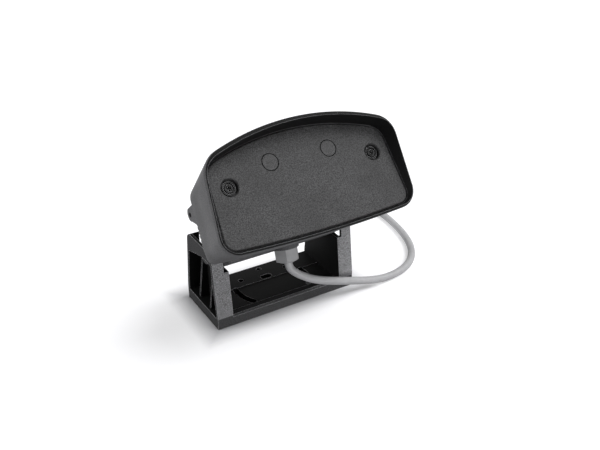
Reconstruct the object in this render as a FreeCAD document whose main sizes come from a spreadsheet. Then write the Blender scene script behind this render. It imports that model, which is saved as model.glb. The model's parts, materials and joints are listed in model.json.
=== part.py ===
"""Door radar sensor: a hooded head that tilts between the two cheeks of a screw-on bracket.

Frame: origin at the middle of the bracket's mounting face, +X to the right, -Y to the front, +Z up.
The head is drawn square to its own face, about the tilt axis, and then turned to its rest tilt:
in the head's sketches X is across the face, Y is up the face and Z is out of the face.
"""
import FreeCAD, Part
import math
import os
import re

import Sketcher

SIZES = {
    # Bracket
    "base_width": 100.0,
    "base_depth": 44.0,
    "base_height": 7.4,
    "floor_height": 6.8,
    "floor_step": 4.0,
    "lip_width": 5.5,
    "lip_chamfer": 1.2,
    "core_depth": 2.4,
    "core_wall": 4.0,
    "core_rib": 6.0,
    "cheek_width": 10.5,
    "cheek_top": 51.0,
    "cheek_top_depth": 34.0,
    "cheek_corner": 5.0,
    "fold_height": 10.0,
    "flange_wall": 2.2,
    "web_wall": 2.5,
    "web_top": 37.5,
    "notch_width": 3.2,
    "band_wall": 2.0,
    "band_slot_floor": 36.0,
    "pocket_back_top": 38.0,
    "pocket_front_top": 43.6,
    "pocket_bend": 3.0,
    "rib_wall": 1.5,
    "rib_spacing": 15.4,
    "rib_foot_recess": 1.6,
    "rib_head_recess": 5.2,
    "rib_top": 35.0,
    "cable_slot_length": 8.0,
    "cable_slot_width": 4.5,
    "cable_slot_back": 7.2,
    "screw_hole": 3.4,
    "screw_hole_spacing": 34.0,
    "screw_hole_back": 11.0,
    "end_hole_back": 17.6,
    "arc_slot_radius": 25.0,
    "arc_slot_width": 4.0,
    "arc_slot_back": 7.0,
    "arc_slot_front": 34.0,
    # Tilt axis
    "pivot_height": 40.0,
    "face_tilt": 39.7,
    "pivot_boss": 22.0,
    "pivot_screw": 5.0,
    "pivot_play": 0.08,
    "pivot_head": 8.5,
    "pivot_head_height": 3.2,
    "pivot_socket": 4.0,
    "pivot_washer": 10.0,
    "pivot_washer_wall": 1.0,
    "insert_diameter": 7.0,
    "insert_length": 8.0,
    "side_play": 0.3,
    # Outline of the head, at the front of its rim
    "head_width": 129.8,
    "head_side_taper": 3.75,
    "head_top": 52.05,
    "head_bottom": -16.05,
    "top_arc": 156.0,
    "bottom_arc": 840.0,
    "head_high_corner": 15.6,
    "head_low_corner": 11.2,
    "least_corner": 2.0,
    # Front housing, measured along the face's normal from the tilt axis
    "hood_depth": 7.7,
    "rim_level": 18.0,
    "hood_tilt": 9.4,
    "rim_round": 2.5,
    "cover_front": 73.3,
    "housing_back": 41.5,
    "housing_side": 3.7,
    "housing_top": 6.95,
    "housing_bottom": 3.65,
    "housing_wall": 2.6,
    "rim_side": 1.2,
    "rim_top": 3.1,
    "rim_bottom": 1.2,
    "ledge_width": 4.0,
    "ledge_wall": 2.5,
    "back_flange_width": 5.5,
    "back_flange_wall": 2.0,
    # Front cover
    "cover_side": 4.1,
    "cover_top": 4.3,
    "cover_bottom": 3.35,
    "cover_wall": 4.2,
    "cover_play": 0.35,
    "cover_edge": 0.8,
    "gasket_wall": 0.6,
    "gasket_play": 0.3,
    "cover_screw_inset": 17.9,
    "cover_screw_up": 23.2,
    "cover_screw": 4.0,
    "screw_play": 0.2,
    "counterbore": 10.0,
    "counterbore_depth": 3.2,
    "counterbore_edge": 0.5,
    "screw_head": 7.8,
    "screw_head_height": 1.6,
    "ring_outside": 6.3,
    "ring_inside": 4.4,
    "ring_depth": 0.7,
    "cross_width": 0.9,
    "cross_length": 3.2,
    "cross_depth": 1.0,
    "screw_reach": 16.0,
    "window_spacing": 38.2,
    "window_up": 31.6,
    "window_hole": 10.4,
    "window_groove": 0.5,
    "window_stem": 5.0,
    "window_flange": 1.2,
    # Rear housing with its neck
    "rear_back": 34.0,
    "rear_side": 6.7,
    "rear_top": 8.45,
    "rear_bottom": 4.65,
    "rear_wall": 2.5,
    "tooth_pitch": 2.6,
    "tooth_width": 1.6,
    "tooth_height": 0.5,
    "tooth_count": 9.0,
    "tooth_start": -1.0,
    "lug_up": 22.6,
    "lug_width": 8.0,
    "lug_reach": 5.0,
    "lug_wall": 4.0,
    "lug_hole": 3.2,
    "lug_inset": 1.2,
    "lug_tail": 8.0,
    "neck_barrel": 17.6,
    "neck_top": 17.0,
    "neck_bottom": -11.0,
    "neck_wall": 2.6,
    "post_diameter": 9.0,
    "rear_screw": 3.0,
    "rear_screw_gap": 4.8,
    "rear_screw_low": -5.0,
    "rear_screw_high": 32.5,
    "rear_boss": 8.0,
    "rear_screw_head": 5.6,
    "rear_screw_head_height": 2.0,
    "rear_screw_reach": 12.0,
    # Boards inside the head
    "board_play": 1.0,
    "board_low": -6.2,
    "board_high": 34.4,
    "board_wall": 1.6,
    "board_back": 46.0,
    "board_screw_inset": 4.0,
    "board_screw_low": -2.0,
    "board_screw_high": 30.0,
    "board_post": 6.0,
    "board_screw": 2.5,
    "board_screw_head": 4.5,
    "board_screw_head_height": 1.6,
    "board_screw_reach": 6.0,
    "shield_margin": 3.0,
    "shield_height": 28.0,
    "shield_depth": 8.0,
    "shield_wall": 0.6,
    "shield_up": 10.0,
    "antenna_height": 32.0,
    "antenna_wall": 1.6,
    "patch_size": 7.0,
    "patch_pitch": 12.0,
    "patch_wall": 0.3,
    "relay_width": 10.0,
    "relay_height": 15.0,
    "relay_depth": 11.0,
    "relay_gap": 0.5,
    "relay_up": 14.0,
    "terminal_depth": 9.0,
    "led_diameter": 5.0,
    "led_height": 6.0,
    "receiver_width": 5.4,
    "receiver_height": 5.0,
    # Cable gland, measured from the flat it seats on
    "gland_out": 16.7,
    "gland_up": -10.0,
    "gland_lean": 22.0,
    "gland_boss": 17.0,
    "gland_boss_depth": 4.0,
    "gland_thread": 9.8,
    "gland_collar": 2.6,
    "gland_nipple": 7.5,
    "gland_neck": 3.4,
    "gland_across_flats": 14.0,
    "gland_nut": 6.6,
    "gland_dome": 1.4,
    "gland_bore": 5.6,
    "gland_nut_wall": 1.6,
    "locknut_wall": 2.2,
    "locknut_play": 0.5,
    # Cable and its coil
    "cable_diameter": 5.2,
    "tail_reach": 3.0,
    "coil_radius": 28.6,
    "coil_section": 21.0,
    "coil_bevel": 4.0,
    "coil_x": 91.7,
    "coil_y": 97.0,
    "tie_width": 4.0,
    "tie_wall": 1.2,
    "tie_proud": 0.4,
}

# Points of the free cable after its straight exit, in millimetres, ending inside the coil
CABLE_ROUTE = [
    (1.75, -24.6, 27.9),
    (5.4, -26.1, 24.8),
    (12.2, -27.8, 20.4),
    (19.7, -29.0, 17.1),
    (29.0, -30.1, 14.1),
    (43.6, -31.0, 9.9),
    (58.1, -31.5, 5.6),
    (72.5, -31.4, 2.9),
    (89.5, -28.4, 2.6),
    (103.5, -20.0, 2.6),
    (114.0, -6.5, 2.6),
    (121.0, 10.5, 2.6),
    (125.4, 30.0, 2.6),
    (127.6, 51.0, 2.6),
    (128.4, 72.0, 2.6),
    (128.0, 92.0, 2.6),
]
CABLE_EXIT_RUN = 3.8

DOC = FreeCAD.newDocument("door_radar_sensor")
SHEET = DOC.addObject("Spreadsheet::Sheet", "sizes")
for row, (alias, value) in enumerate(SIZES.items(), start=1):
    SHEET.set(f"A{row}", alias)
    SHEET.set(f"B{row}", str(value))
    SHEET.setAlias(f"B{row}", alias)
DOC.recompute()

NODES = []
V = FreeCAD.Vector
# Sketch planes: across the face (no turn), the side view (sketch X to Y, sketch Y to Z) and the front view
FLAT = FreeCAD.Rotation()
SIDE = FreeCAD.Rotation(V(1, 1, 1), 120)
FRONT = FreeCAD.Rotation(V(1, 0, 0), 90)
ALONG_X = FreeCAD.Rotation(V(0, 1, 0), 90)


def size(alias):
    """The number that the sheet holds under an alias."""
    return float(SHEET.get(alias))


def formula(text):
    """An expression whose words are the sheet's aliases, in the form that FreeCAD binds."""
    def owned(match):
        word = match.group(0)
        return f"sizes.{word}" if word in SIZES else word
    return re.sub(r"[a-z_][a-z0-9_]*", owned, str(text))


def bind(obj, prop, text):
    obj.setExpression(prop, formula(text))


def place(obj, x="0", y="0", z="0", rotation=FLAT):
    obj.Placement = FreeCAD.Placement(V(0, 0, 0), rotation)
    for axis, text in zip("xyz", (x, y, z)):
        bind(obj, f"Placement.Base.{axis}", text)
    return obj


def box(x_range, y_range, z_range):
    """A block between two formulas on each axis."""
    block = DOC.addObject("Part::Box", "block")
    for prop, (low, high) in zip(("Length", "Width", "Height"), (x_range, y_range, z_range)):
        bind(block, prop, f"({high}) - ({low})")
    return place(block, x_range[0], y_range[0], z_range[0])


def rod(diameter, low, high, first="0", second="0", rotation=FLAT):
    """A cylinder from low to high: along Z at (first, second) in X and Y, or along X at Y and Z."""
    cylinder = DOC.addObject("Part::Cylinder", "rod")
    bind(cylinder, "Radius", f"({diameter}) / 2")
    bind(cylinder, "Height", f"({high}) - ({low})")
    if rotation is ALONG_X:
        return place(cylinder, low, first, second, rotation)
    return place(cylinder, first, second, low, rotation)


def hexagon(across_flats, low, high):
    """A hexagonal prism along Z."""
    prism = DOC.addObject("Part::Prism", "hexagon")
    prism.Polygon = 6
    bind(prism, "Circumradius", f"({across_flats}) / sqrt(3)")
    bind(prism, "Height", f"({high}) - ({low})")
    return place(prism, z=low)


def cone(low_diameter, high_diameter, low, high, x="0", y="0"):
    frustum = DOC.addObject("Part::Cone", "cone")
    bind(frustum, "Radius1", f"({low_diameter}) / 2")
    bind(frustum, "Radius2", f"({high_diameter}) / 2")
    bind(frustum, "Height", f"({high}) - ({low})")
    return place(frustum, x, y, low)


def polygon(corners, rotation=FLAT, offset=("0", "0", "0")):
    """A closed sketch whose every corner is held by two bound distances."""
    sketch = DOC.addObject("Sketcher::SketchObject", "outline")
    count = len(corners)
    ring = [V(math.cos(i * math.tau / count), math.sin(i * math.tau / count), 0) for i in range(count)]
    for i in range(count):
        sketch.addGeometry(Part.LineSegment(ring[i], ring[(i + 1) % count]))
    for i in range(count):
        sketch.addConstraint(Sketcher.Constraint("Coincident", i, 2, (i + 1) % count, 1))
    for i, corner in enumerate(corners):
        for kind, text in zip(("DistanceX", "DistanceY"), corner):
            index = sketch.addConstraint(Sketcher.Constraint(kind, -1, 1, i, 1, 1.0))
            bind(sketch, f"Constraints[{index}]", text)
    return place(sketch, *offset, rotation=rotation)


def extrude(sketch, length, symmetric=False):
    solid = DOC.addObject("Part::Extrusion", "extrusion")
    solid.Base = sketch
    solid.DirMode = "Normal"
    solid.Solid = True
    solid.Symmetric = symmetric
    bind(solid, "LengthFwd", length)
    return solid


def loft(sections):
    solid = DOC.addObject("Part::Loft", "loft")
    solid.Sections = sections
    solid.Solid = True
    solid.Ruled = True
    return solid


def fuse(*shapes):
    if len(shapes) == 1:
        return shapes[0]
    joined = DOC.addObject("Part::MultiFuse", "joined")
    joined.Shapes = list(shapes)
    joined.Refine = True
    return joined


def cut(base, *tools):
    remainder = DOC.addObject("Part::Cut", "cut")
    remainder.Base = base
    remainder.Tool = fuse(*tools)
    remainder.Refine = True
    return remainder


def common(first, second):
    shared = DOC.addObject("Part::Common", "shared")
    shared.Base = first
    shared.Tool = second
    return shared


def group(shapes):
    """Separate solids that share one node."""
    compound = DOC.addObject("Part::Compound", "group")
    compound.Links = list(shapes)
    return compound


def mirrored(shape):
    """The same form on the other side of the middle plane."""
    twin = DOC.addObject("Part::Mirroring", "twin")
    twin.Source = shape
    twin.Normal = V(1, 0, 0)
    return twin


def rounded(base, radius, wanted):
    """Fillet the edges of a built shape for which wanted(edge) is true."""
    DOC.recompute()
    fillet = DOC.addObject("Part::Fillet", "fillet")
    fillet.Base = base
    fillet.Edges = [
        (number, radius, radius) for number, edge in enumerate(base.Shape.Edges, start=1) if wanted(edge)
    ]
    return fillet


def on_bracket(obj, label):
    obj.Label = label
    NODES.append(obj)
    return obj


def on_head(obj, label):
    """Turn a piece drawn square to the face to the head's rest tilt about the tilt axis."""
    turned = group([obj])
    turned.Placement = FreeCAD.Placement(V(0, 0, 0), FreeCAD.Rotation(V(1, 0, 0), 50))
    bind(turned, "Placement.Rotation.Angle", "90 - face_tilt")
    bind(turned, "Placement.Base.z", "pivot_height")
    turned.Label = label
    NODES.append(turned)
    return turned


def insets(name):
    """A feature's distances inside the head's outline: at its sides, top and bottom."""
    return tuple(size(f"{name}_{place_name}") for place_name in ("side", "top", "bottom"))


def moved_in(inset, amount):
    return tuple(distance + amount for distance in inset)


def head_outline(inset, height):
    """The head's outline, moved in by inset: two arcs and two sides, with rounded corners."""
    side_inset, top_inset, bottom_inset = inset
    half_low = size("head_width") / 2 - side_inset
    half_high = half_low - size("head_side_taper")
    top, bottom = size("head_top") - top_inset, size("head_bottom") + bottom_inset
    top_radius, bottom_radius = size("top_arc") - top_inset, size("bottom_arc") - bottom_inset
    high_corner = max(size("head_high_corner") - max(side_inset, top_inset), size("least_corner"))
    low_corner = max(size("head_low_corner") - max(side_inset, bottom_inset), size("least_corner"))
    top_centre, bottom_centre = V(0, top - top_radius, 0), V(0, bottom + bottom_radius, 0)
    foot = V(half_low, bottom, 0)
    along = (V(half_high, top, 0) - foot).normalize()
    inward = V(-along.y, along.x, 0)

    def corner_centre(arc_centre, arc_radius, corner, upward):
        """Where a corner's circle touches the side line and the big arc from inside."""
        start = foot + inward * corner - arc_centre
        reach = arc_radius - corner
        middle = start.dot(along)
        root = math.sqrt(middle ** 2 - start.dot(start) + reach ** 2)
        return start + along * (-middle + upward * root) + arc_centre

    def touching(arc_centre, arc_radius, centre):
        return arc_centre + (centre - arc_centre).normalize() * arc_radius

    high = corner_centre(top_centre, top_radius, high_corner, 1)
    low = corner_centre(bottom_centre, bottom_radius, low_corner, -1)
    high_side, low_side = high - inward * high_corner, low - inward * low_corner
    high_arc, low_arc = touching(top_centre, top_radius, high), touching(bottom_centre, bottom_radius, low)

    def flipped(point):
        return V(-point.x, point.y, 0)

    def bend(start, centre, end):
        """The corner's arc, by way of the point that halves it."""
        outward = ((start - centre) + (end - centre)).normalize()
        return Part.Arc(start, centre + outward * (start - centre).Length, end)

    sketch = DOC.addObject("Sketcher::SketchObject", "head_outline")
    sketch.addGeometry([
        Part.Arc(flipped(low_arc), V(0, bottom, 0), low_arc),
        bend(low_arc, low, low_side),
        Part.LineSegment(low_side, high_side),
        bend(high_side, high, high_arc),
        Part.Arc(high_arc, V(0, top, 0), flipped(high_arc)),
        bend(flipped(high_arc), flipped(high), flipped(high_side)),
        Part.LineSegment(flipped(high_side), flipped(low_side)),
        bend(flipped(low_side), flipped(low), flipped(low_arc)),
    ])
    return place(sketch, z=height)


def head_prism(inset, low, high):
    """A straight block of the head's outline between two formulas on the normal."""
    return extrude(head_outline(inset, low), f"({high}) - ({low})")


def head_loft(low_inset, low, high_inset, high):
    return loft([head_outline(low_inset, low), head_outline(high_inset, high)])


def rim_outline(inset, lift="0"):
    """The outline on the plane of the hood's rim, which stands out further at the top."""
    sketch = head_outline(inset, "0")
    sketch.Placement = FreeCAD.Placement(V(0, 0, 0), FreeCAD.Rotation(V(1, 0, 0), 9))
    bind(sketch, "Placement.Rotation.Angle", "hood_tilt")
    bind(sketch, "Placement.Base.y", "rim_level * (1 - cos(hood_tilt))")
    bind(sketch, "Placement.Base.z", f"cover_front + hood_depth + {lift} - rim_level * sin(hood_tilt)")
    return sketch


def rim_at(level):
    """The rim's height on the normal, at a level on the face."""
    middle = size("cover_front") + size("hood_depth")
    return middle + math.tan(math.radians(size("hood_tilt"))) * (level - size("rim_level"))


def both_sides(make, side):
    """The same feature at plus and minus a distance from the middle plane."""
    return [make(side), make(f"-{side}")]


def four_corners(side, low, high):
    """The four places of a screw pattern that is the same on both sides."""
    return [(x, y) for x in (side, f"-{side}") for y in (low, high)]


def rear_screw_places():
    return four_corners(REAR_SCREW_SIDE, "rear_screw_low", "rear_screw_high")


def board_screw_places():
    return four_corners(BOARD_SCREW_SIDE, "board_screw_low", "board_screw_high")


# Places that several pieces share, as formulas: half widths from the middle plane
NECK_HALF = "(base_width / 2 - cheek_width - side_play)"
COVER_SCREW_SIDE = "(head_width / 2 - cover_screw_inset)"
REAR_SCREW_SIDE = f"({NECK_HALF} + rear_screw_gap)"
BOARD_ROOM = f"min({REAR_SCREW_SIDE} - rear_boss / 2; {COVER_SCREW_SIDE} - post_diameter / 2)"
BOARD_HALF = f"({BOARD_ROOM} - board_play)"
BOARD_SCREW_SIDE = f"({BOARD_HALF} - board_screw_inset)"
RELAY_SIDE = f"({BOARD_HALF} - relay_width / 2 - relay_gap)"
ANTENNA_HALF = f"({BOARD_HALF} - relay_width - board_play)"
SHIELD_HALF = f"({ANTENNA_HALF} - shield_margin)"
LUG_EDGE = "(head_width / 2 - rear_side - lug_inset)"
REAR_LOW = "(head_bottom + rear_bottom)"
REAR_HIGH = "(head_top - rear_top)"
BOARD_FRONT = "(board_back + board_wall)"

# Shared insets of the head's outline, in millimetres from the rim's outer edge
HOUSING_INSET = insets("housing")
RIM_INSET = insets("rim")
COVER_INSET = insets("cover")
REAR_INSET = insets("rear")
LEDGE_INSET = moved_in(COVER_INSET, size("ledge_width"))
FLANGE_INSET = moved_in(HOUSING_INSET, size("back_flange_width"))
LEDGE_FRONT = "cover_front - cover_wall - gasket_wall"
LEDGE_BACK = f"{LEDGE_FRONT} - ledge_wall"
LEDGE_FRONT_AT = size("cover_front") - size("cover_wall") - size("gasket_wall")


def wall_inset(height):
    """How far the housing's wall has drawn in, at a height on the normal, plus its thickness."""
    back = size("housing_back")
    rims = [rim_at(size(level)) for level in ("rim_level", "head_top", "head_bottom")]
    drawn = [full * (rim - height) / (rim - back) for full, rim in zip(HOUSING_INSET, rims)]
    return moved_in(drawn, size("housing_wall"))


# Bracket


def flange_edge(height, wall="0"):
    """Half the bracket's depth at a height above the fold, where the cheeks lean in."""
    lean = "(base_depth - cheek_top_depth) / 2 / (cheek_top - fold_height)"
    return f"base_depth / 2 - ({wall}) - {lean} * (({height}) - fold_height)"


def cheek():
    """The right-hand cheek: web, two leaning flanges, outer band and two gusset ribs."""
    inner, outer = "base_width / 2 - cheek_width", "base_width / 2"
    web = f"{inner} + web_wall"
    envelope = extrude(
        polygon(
            [
                ("-base_depth / 2", "0"),
                ("base_depth / 2", "0"),
                ("base_depth / 2", "fold_height"),
                ("cheek_top_depth / 2", "cheek_top"),
                ("-cheek_top_depth / 2", "cheek_top"),
                ("-base_depth / 2", "fold_height"),
            ],
            SIDE, (inner, "0", "0"),
        ),
        "cheek_width",
    )
    top = size("cheek_top")
    envelope = rounded(
        envelope, size("cheek_corner"),
        lambda edge: all(abs(v.Z - top) < 0.01 for v in edge.Vertexes) and abs(edge.tangentAt(0).x) > 0.9,
    )
    side = "base_depth / 2 - flange_wall"
    back_top = flange_edge("pocket_back_top", "flange_wall")
    front_top = flange_edge("pocket_front_top", "flange_wall")
    pocket = extrude(
        polygon(
            [
                (f"-({side})", "base_height"),
                (side, "base_height"),
                (side, "fold_height"),
                (back_top, "pocket_back_top"),
                ("-pocket_bend", "pocket_front_top"),
                (f"-({front_top})", "pocket_front_top"),
                (f"-({side})", "fold_height"),
            ],
            SIDE, (web, "0", "0"),
        ),
        "cheek_width",
    )
    slot_half = f"({flange_edge('cheek_top', 'flange_wall')})"
    band_slot = box(
        (web, f"{outer} - band_wall"), (f"-{slot_half}", slot_half), ("band_slot_floor", "cheek_top + 1")
    )
    above_web = cut(
        box(
            (f"{inner} - 1", f"{inner} + notch_width"), ("-base_depth", "base_depth"),
            ("web_top", "cheek_top + 1"),
        ),
        rod("pivot_boss", f"{inner} - 2", web, "0", "pivot_height", ALONG_X),
    )
    pivot_hole = rod(
        "pivot_screw + 2 * pivot_play", f"{inner} - 1", f"{web} + 1", "0", "pivot_height", ALONG_X
    )
    frame = cut(envelope, pocket, band_slot, above_web, pivot_hole)
    ribs = [
        extrude(
            polygon(
                [
                    (f"{web} - web_wall / 2", "base_height - 1"),
                    (f"{outer} - rib_foot_recess", "base_height - 1"),
                    (f"{outer} - rib_head_recess", "rib_top"),
                    (f"{web} - web_wall / 2", "rib_top + rib_wall"),
                ],
                FRONT, ("0", place_y, "0"),
            ),
            "rib_wall", symmetric=True,
        )
        for place_y in ("rib_spacing / 2", "-rib_spacing / 2")
    ]
    return fuse(frame, *ribs)


def arc_slot():
    """A curved slot about the middle of the floor, at the left, with round ends."""
    radius, half = size("arc_slot_radius"), size("arc_slot_width") / 2
    first = math.radians(180 - size("arc_slot_back"))
    last = math.radians(180 + size("arc_slot_front"))

    def at(distance, angle):
        return V(distance * math.cos(angle), distance * math.sin(angle), 0)

    def end_cap(angle, turn, start, end):
        beyond = V(-math.sin(angle), math.cos(angle), 0) * (turn * half)
        return Part.Arc(at(start, angle), at(radius, angle) + beyond, at(end, angle))

    middle = (first + last) / 2
    sketch = DOC.addObject("Sketcher::SketchObject", "arc_slot")
    sketch.addGeometry([
        Part.Arc(at(radius + half, first), at(radius + half, middle), at(radius + half, last)),
        end_cap(last, 1, radius + half, radius - half),
        Part.Arc(at(radius - half, last), at(radius - half, middle), at(radius - half, first)),
        end_cap(first, -1, radius - half, radius + half),
    ])
    return extrude(place(sketch, z="-1"), "base_height + 2")


def bracket():
    """Floor with a front lip and a low front zone, two cheeks, and the mounting holes."""
    half_depth = "base_depth / 2"
    floor = extrude(
        polygon(
            [
                (f"-{half_depth}", "0"),
                (half_depth, "0"),
                (half_depth, "base_height"),
                ("floor_step", "base_height"),
                ("floor_step", "floor_height"),
                (f"lip_width - {half_depth}", "floor_height"),
                (f"lip_width - {half_depth}", "base_height"),
                (f"lip_chamfer - {half_depth}", "base_height"),
                (f"-{half_depth}", "base_height - lip_chamfer"),
            ],
            SIDE, ("cheek_width / 2 - base_width / 2", "0", "0"),
        ),
        "base_width - cheek_width",
    )
    right = cheek()
    through = ("-1", "base_height + 1")
    half_straight = "(cable_slot_length - cable_slot_width) / 2"
    cable_slot = fuse(
        box(
            (f"-{half_straight}", half_straight),
            ("cable_slot_back - cable_slot_width / 2", "cable_slot_back + cable_slot_width / 2"), through,
        ),
        *[rod("cable_slot_width", *through, sign + half_straight, "cable_slot_back") for sign in ("", "-")],
    )
    holes = both_sides(
        lambda x: rod("screw_hole", *through, x, "screw_hole_back"), "(screw_hole_spacing / 2)"
    )
    end_hole = rod("screw_hole", *through, "0", "end_hole_back")
    slot = arc_slot()
    core = box(
        ("core_rib / 2", "base_width / 2 - core_wall"),
        (f"core_wall - {half_depth}", f"{half_depth} - core_wall"), ("-1", "core_depth"),
    )
    solid = fuse(floor, right, mirrored(right))
    solid = cut(solid, cable_slot, *holes, end_hole, slot, mirrored(slot), core, mirrored(core))
    return on_bracket(solid, "bracket")


def pivot_washers():
    web = "base_width / 2 - cheek_width + web_wall"
    washer = cut(
        rod("pivot_washer", web, f"{web} + pivot_washer_wall", "0", "pivot_height", ALONG_X),
        rod(
            "pivot_screw + 2 * pivot_play", f"{web} - 1", f"{web} + pivot_washer_wall + 1",
            "0", "pivot_height", ALONG_X,
        ),
    )
    return on_bracket(group([washer, mirrored(washer)]), "pivot_washers")


# Head shells


def front_housing():
    """Hooded housing: a drafted skirt, a ledge for the cover and a flange at its back."""
    ledge_back = LEDGE_FRONT_AT - size("ledge_wall")
    flange_front = size("housing_back") + size("back_flange_wall")
    outer = loft([head_outline(HOUSING_INSET, "housing_back"), rim_outline((0.0, 0.0, 0.0))])
    outer = rounded(
        outer, size("rim_round"),
        lambda edge: all(abs(v.Z - rim_at(v.Y)) < 0.01 for v in edge.Vertexes),
    )
    cover_pocket = moved_in(COVER_INSET, -size("cover_play"))
    hollows = [
        loft([head_outline(cover_pocket, "cover_front"), rim_outline(RIM_INSET, "rim_side / 2")]),
        head_prism(cover_pocket, LEDGE_FRONT, "cover_front"),
        head_prism(LEDGE_INSET, f"{LEDGE_BACK} - 1", f"{LEDGE_FRONT} + 1"),
        head_loft(
            wall_inset(flange_front), "housing_back + back_flange_wall", wall_inset(ledge_back), LEDGE_BACK
        ),
        head_prism(FLANGE_INSET, "housing_back - 1", "housing_back + back_flange_wall + 1"),
    ]
    shell = cut(outer, *hollows)
    bosses = [
        common(
            rod("rear_boss", "housing_back", LEDGE_BACK, x, y),
            head_prism(moved_in(HOUSING_INSET, size("back_flange_wall") / 2), "housing_back", LEDGE_BACK),
        )
        for x, y in rear_screw_places()
    ]
    bores = [
        rod("rear_screw", "housing_back - 1", "housing_back + rear_screw_reach", x, y)
        for x, y in rear_screw_places()
    ]
    return on_head(cut(fuse(shell, *bosses), *bores), "front_housing")


def front_cover():
    """Flat cover with counterbored screw holes and two round window openings."""
    plate = fuse(
        head_prism(COVER_INSET, "cover_front - cover_wall", "cover_front - cover_edge"),
        head_loft(
            COVER_INSET, "cover_front - cover_edge",
            moved_in(COVER_INSET, size("cover_edge")), "cover_front",
        ),
    )
    ends = ("cover_front - cover_wall - 1", "cover_front + 1")
    tools = []
    tools += both_sides(
        lambda x: rod("cover_screw + 2 * screw_play", *ends, x, "cover_screw_up"), COVER_SCREW_SIDE
    )
    tools += both_sides(
        lambda x: rod("counterbore", "cover_front - counterbore_depth", ends[1], x, "cover_screw_up"),
        COVER_SCREW_SIDE,
    )
    tools += both_sides(
        lambda x: cone(
            "counterbore - 2 * counterbore_edge", "counterbore + 4 * counterbore_edge",
            "cover_front - 2 * counterbore_edge", "cover_front + counterbore_edge", x, "cover_screw_up",
        ),
        COVER_SCREW_SIDE,
    )
    tools += both_sides(lambda x: rod("window_hole", *ends, x, "window_up"), "(window_spacing / 2)")
    return on_head(cut(plate, *tools), "front_cover")


def cover_gasket():
    ring = cut(
        head_prism(moved_in(COVER_INSET, size("gasket_play")), LEDGE_FRONT, "cover_front - cover_wall"),
        head_prism(moved_in(LEDGE_INSET, size("gasket_play")), f"{LEDGE_FRONT} - 1", "cover_front"),
    )
    return on_head(ring, "cover_gasket")


def cover_screws():
    """Two cross-recessed screws that draw the cover down on the rear housing's posts."""
    seat = "cover_front - counterbore_depth"
    top = f"{seat} + screw_head_height"

    def screw(x):
        blank = fuse(
            rod("screw_head", seat, top, x, "cover_screw_up"),
            rod("cover_screw", f"{seat} - screw_reach", seat, x, "cover_screw_up"),
        )
        ring = cut(
            rod("ring_outside", f"{top} - ring_depth", f"{top} + 1", x, "cover_screw_up"),
            rod("ring_inside", f"{top} - ring_depth - 1", f"{top} + 2", x, "cover_screw_up"),
        )
        reach, half = "cross_length / 2", "cross_width / 2"
        depth = (f"{top} - cross_depth", f"{top} + 1")
        arms = [
            box((f"{x} - {a}", f"{x} + {a}"), (f"cover_screw_up - {b}", f"cover_screw_up + {b}"), depth)
            for a, b in ((reach, half), (half, reach))
        ]
        return cut(blank, ring, *arms)

    return on_head(group(both_sides(screw, COVER_SCREW_SIDE)), "cover_screws")


def window(x, label, stem_end):
    """A clear plug, flush with the cover, whose stem carries light to and from the board."""
    plug = fuse(
        rod("window_hole - 2 * window_groove", "cover_front - cover_wall", "cover_front", x, "window_up"),
        rod(
            "window_hole + 2 * window_flange", "cover_front - cover_wall - window_flange",
            "cover_front - cover_wall", x, "window_up",
        ),
        rod("window_stem", stem_end, "cover_front - cover_wall - window_flange", x, "window_up"),
    )
    return on_head(plug, label)


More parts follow.
